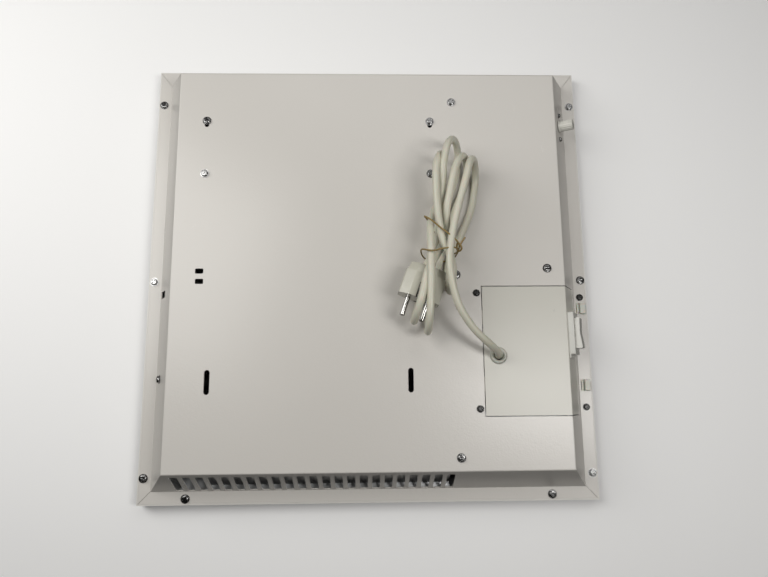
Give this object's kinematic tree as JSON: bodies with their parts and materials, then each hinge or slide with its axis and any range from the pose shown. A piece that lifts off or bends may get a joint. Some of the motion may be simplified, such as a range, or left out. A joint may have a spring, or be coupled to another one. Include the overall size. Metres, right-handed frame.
{
  "type": "led panel light",
  "caption": "Square flat LED panel light with a mitred frame, sloped vented rear housing, access cover, rocker switch, dimmer knob and a tied mains lead with plug.",
  "frame": {"origin": "centre of the footprint, on the plane of the front bezel, with the panel lying face down", "axes": "+Z out of the rear plate, +X along the lower edge towards the switch and dimmer side, +Y up the panel away from the vented side"},
  "size_m": [0.45, 0.45, 0.0975],
  "materials": {
    "frame_paint": "white powder coat",
    "housing_paint": "warm white powder coat with a fine orange peel",
    "cover_paint": "grey-white powder coat, slightly greener",
    "screw_steel": "bright zinc plated",
    "screw_black": "black oxide",
    "inner_steel": "bare zinc-coated sheet",
    "bare_aluminium": "mill finish",
    "opal_acrylic": "opal diffusing sheet",
    "clear_acrylic": "clear light guide",
    "white_film": "white reflecting film",
    "board_white": "white solder mask",
    "led_phosphor": "yellow phosphor",
    "switch_plastic": "moulded, satin",
    "rocker_plastic": "moulded, satin",
    "knob_plastic": "moulded, satin",
    "clip_plastic": "natural nylon",
    "grommet_plastic": "grey nylon",
    "cord_pvc": "ivory-grey flexible sheath",
    "plug_plastic": "moulded white",
    "pin_metal": "nickel plated",
    "brass": "plain",
    "band_rubber": "brown elastic band",
    "driver_case": "white driver case",
    "dark_plastic": "black moulding"
  },
  "bodies": {
    "root": {"frame_rail_bottom": "frame_paint", "frame_rail_right": "frame_paint", "frame_rail_top": "frame_paint", "frame_rail_left": "frame_paint", "frame_corner_keys": "inner_steel", "diffuser_sheet": "opal_acrylic", "light_guide": "clear_acrylic", "reflector_sheet": "white_film", "back_sheet": "bare_aluminium", "led_heat_bar_left": "bare_aluminium", "led_board_left": "board_white", "leds_left": "led_phosphor", "hanger_plate_left": "inner_steel", "led_heat_bar_right": "bare_aluminium", "led_board_right": "board_white", "leds_right": "led_phosphor", "hanger_plate_right": "inner_steel", "rear_housing": "housing_paint", "access_cover": "cover_paint", "cable_grommet": "grommet_plastic", "wiring_tray": "inner_steel", "cord_clamp_block": "dark_plastic", "cord_clamp_bar": "dark_plastic", "cord_clamp_screws": "screw_steel", "terminal_block": "grommet_plastic", "terminal_screws": "brass", "compartment_divider": "inner_steel", "vent_baffle": "inner_steel", "driver_bracket": "inner_steel", "led_driver": "driver_case", "earth_screw": "screw_steel", "earth_tag": "brass", "flange_screws": "screw_steel", "plate_screws": "screw_steel", "cover_screws": "screw_black", "retaining_clip_upper": "clip_plastic", "retaining_clip_lower": "clip_plastic", "switch_housing": "switch_plastic", "switch_terminals": "brass", "dimmer_bracket": "inner_steel", "dimmer_pot": "dark_plastic", "dimmer_screws": "screw_steel", "plug_body": "plug_plastic", "plug_pins": "pin_metal", "plug_earth_contacts": "pin_metal", "plug_collar": "plug_plastic", "plug_boot": "cord_pvc", "mains_cord": "cord_pvc", "cord_hank": "cord_pvc", "cord_band": "band_rubber"},
    "rocker": {"switch_rocker": "rocker_plastic"},
    "dimmer": {"dimmer_knob": "knob_plastic", "dimmer_shaft": "bare_aluminium"}
  },
  "joints": [
    {"name": "rocker_tilt", "type": "hinge", "parent": "root", "child": "rocker", "pos_m": [0.20094, -0.064, 0.03693], "axis": [-0.5126, 0, 0.8587], "range_deg": [-7, 0]},
    {"name": "dimmer_turn", "type": "hinge", "parent": "root", "child": "dimmer", "pos_m": [0.20026, 0.1545, 0.033], "axis": [0.8587, 0, 0.5126], "range_deg": [-280, 0]}
  ]
}
